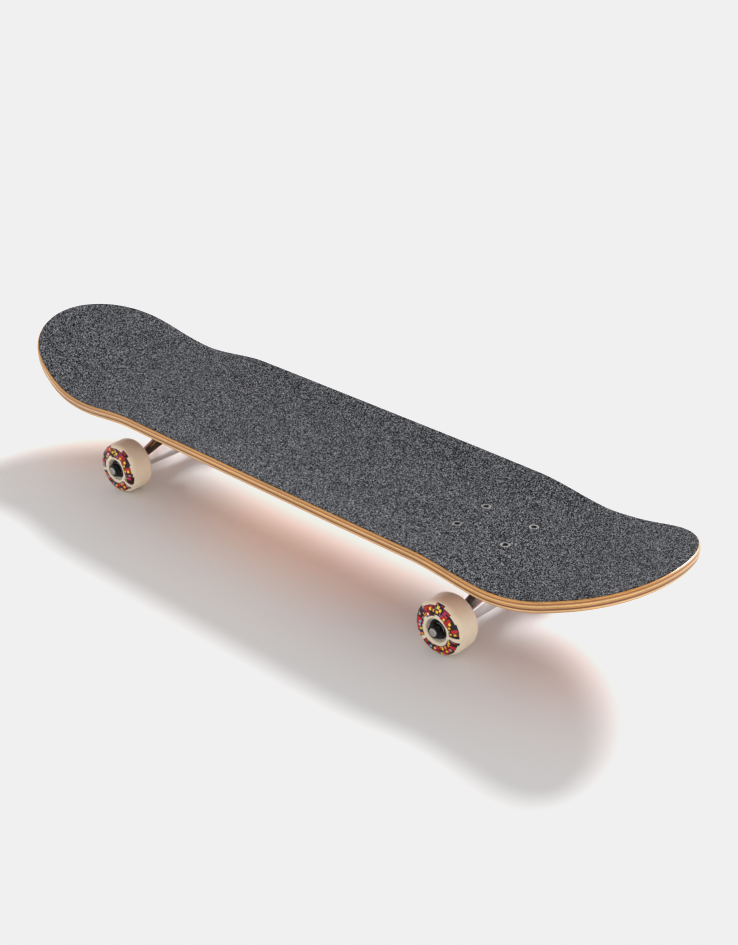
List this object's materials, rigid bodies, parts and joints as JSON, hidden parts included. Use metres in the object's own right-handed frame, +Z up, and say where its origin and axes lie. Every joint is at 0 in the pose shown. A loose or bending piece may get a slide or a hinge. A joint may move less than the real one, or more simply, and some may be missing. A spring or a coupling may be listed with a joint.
{
  "type": "skateboard",
  "caption": "Double-kick street skateboard with a gripped maple deck, sprung steering trucks and free-rolling urethane wheels on ball bearings.",
  "frame": {"origin": "on the floor under the middle of the overall length and width, the board standing on its wheels", "axes": "+X towards the nose, +Y towards the left rail, +Z up"},
  "size_m": [0.7944, 0.1952, 0.1265],
  "materials": {
    "grip": "abrasive grit",
    "maple": "satin",
    "cross_ply": "satin",
    "printed_ply": "gloss print",
    "bolt_steel": "satin",
    "black_steel": "black oxide",
    "zinc_steel": "zinc plated",
    "axle_steel": "turned",
    "bearing_steel": "ground",
    "ball_steel": "polished",
    "black_shield": "satin black",
    "cast_aluminium": "polished casting",
    "nylon": "matte",
    "pivot_plastic": "matte",
    "bushing_urethane": "satin",
    "urethane": "smooth urethane"
  },
  "bodies": {
    "deck": {"grip_tape": "grip", "ply_1": "maple", "ply_2": "maple", "ply_3": "cross_ply", "ply_4": "maple", "ply_5": "cross_ply", "ply_6": "maple", "ply_7": "printed_ply", "mounting_bolts": "bolt_steel", "mounting_nuts": "black_steel", "mounting_nut_inserts": "nylon", "kingpin_nuts": "zinc_steel", "kingpin_nut_inserts": "nylon", "baseplate_front": "cast_aluminium", "pivot_cup_front": "pivot_plastic", "kingpin_front": "zinc_steel", "upper_bushing_front": "bushing_urethane", "lower_bushing_front": "bushing_urethane", "bushing_washers_front": "zinc_steel", "baseplate_rear": "cast_aluminium", "pivot_cup_rear": "pivot_plastic", "kingpin_rear": "zinc_steel", "upper_bushing_rear": "bushing_urethane", "lower_bushing_rear": "bushing_urethane", "bushing_washers_rear": "zinc_steel"},
    "front_hanger": {"hanger_front": "cast_aluminium", "axle_front": "axle_steel", "axle_nuts_front": "black_steel", "axle_nut_inserts_front": "nylon", "axle_washers_front": "zinc_steel", "bearing_inner_rings_front": "bearing_steel", "bearing_spacers_front": "bearing_steel"},
    "front_left_wheel": {"wheel_front_left": "urethane", "bearing_outer_rings_front_left": "bearing_steel", "bearing_shields_front_left": "black_shield"},
    "front_left_balls": {"bearing_balls_front_left": "ball_steel", "bearing_cages_front_left": "pivot_plastic"},
    "front_right_wheel": {"wheel_front_right": "urethane", "bearing_outer_rings_front_right": "bearing_steel", "bearing_shields_front_right": "black_shield"},
    "front_right_balls": {"bearing_balls_front_right": "ball_steel", "bearing_cages_front_right": "pivot_plastic"},
    "rear_hanger": {"hanger_rear": "cast_aluminium", "axle_rear": "axle_steel", "axle_nuts_rear": "black_steel", "axle_nut_inserts_rear": "nylon", "axle_washers_rear": "zinc_steel", "bearing_inner_rings_rear": "bearing_steel", "bearing_spacers_rear": "bearing_steel"},
    "rear_left_wheel": {"wheel_rear_left": "urethane", "bearing_outer_rings_rear_left": "bearing_steel", "bearing_shields_rear_left": "black_shield"},
    "rear_left_balls": {"bearing_balls_rear_left": "ball_steel", "bearing_cages_rear_left": "pivot_plastic"},
    "rear_right_wheel": {"wheel_rear_right": "urethane", "bearing_outer_rings_rear_right": "bearing_steel", "bearing_shields_rear_right": "black_shield"},
    "rear_right_balls": {"bearing_balls_rear_right": "ball_steel", "bearing_cages_rear_right": "pivot_plastic"}
  },
  "joints": [
    {"name": "front_steer", "type": "hinge", "parent": "deck", "child": "front_hanger", "pos_m": [0.1888, 0, 0.04677], "axis": [-0.917, 0, -0.3989], "range_deg": [-14, 14], "stiffness_Nm_per_rad": 40, "deforming": ["upper_bushing_front", "lower_bushing_front"]},
    {"name": "front_left_wheel_spin", "type": "hinge", "parent": "front_hanger", "child": "front_left_wheel", "pos_m": [0.21295, 0.0775, 0.0265], "axis": [0, 1, 0], "continuous": true},
    {"name": "front_left_ball_spin", "type": "hinge", "parent": "front_hanger", "child": "front_left_balls", "pos_m": [0.21295, 0.0775, 0.0265], "axis": [0, 1, 0], "continuous": true},
    {"name": "front_right_wheel_spin", "type": "hinge", "parent": "front_hanger", "child": "front_right_wheel", "pos_m": [0.21295, -0.0775, 0.0265], "axis": [0, 1, 0], "continuous": true},
    {"name": "front_right_ball_spin", "type": "hinge", "parent": "front_hanger", "child": "front_right_balls", "pos_m": [0.21295, -0.0775, 0.0265], "axis": [0, 1, 0], "continuous": true},
    {"name": "rear_steer", "type": "hinge", "parent": "deck", "child": "rear_hanger", "pos_m": [-0.1943, 0, 0.04677], "axis": [0.917, 0, -0.3989], "range_deg": [-14, 14], "stiffness_Nm_per_rad": 40, "deforming": ["upper_bushing_rear", "lower_bushing_rear"]},
    {"name": "rear_left_wheel_spin", "type": "hinge", "parent": "rear_hanger", "child": "rear_left_wheel", "pos_m": [-0.21845, 0.0775, 0.0265], "axis": [0, 1, 0], "continuous": true},
    {"name": "rear_left_ball_spin", "type": "hinge", "parent": "rear_hanger", "child": "rear_left_balls", "pos_m": [-0.21845, 0.0775, 0.0265], "axis": [0, 1, 0], "continuous": true},
    {"name": "rear_right_wheel_spin", "type": "hinge", "parent": "rear_hanger", "child": "rear_right_wheel", "pos_m": [-0.21845, -0.0775, 0.0265], "axis": [0, 1, 0], "continuous": true},
    {"name": "rear_right_ball_spin", "type": "hinge", "parent": "rear_hanger", "child": "rear_right_balls", "pos_m": [-0.21845, -0.0775, 0.0265], "axis": [0, 1, 0], "continuous": true}
  ],
  "couplings": [
    {"joint": "front_left_ball_spin", "follows": "front_left_wheel_spin", "ratio": 0.6291},
    {"joint": "front_right_ball_spin", "follows": "front_right_wheel_spin", "ratio": 0.6291},
    {"joint": "rear_left_ball_spin", "follows": "rear_left_wheel_spin", "ratio": 0.6291},
    {"joint": "rear_right_ball_spin", "follows": "rear_right_wheel_spin", "ratio": 0.6291}
  ]
}
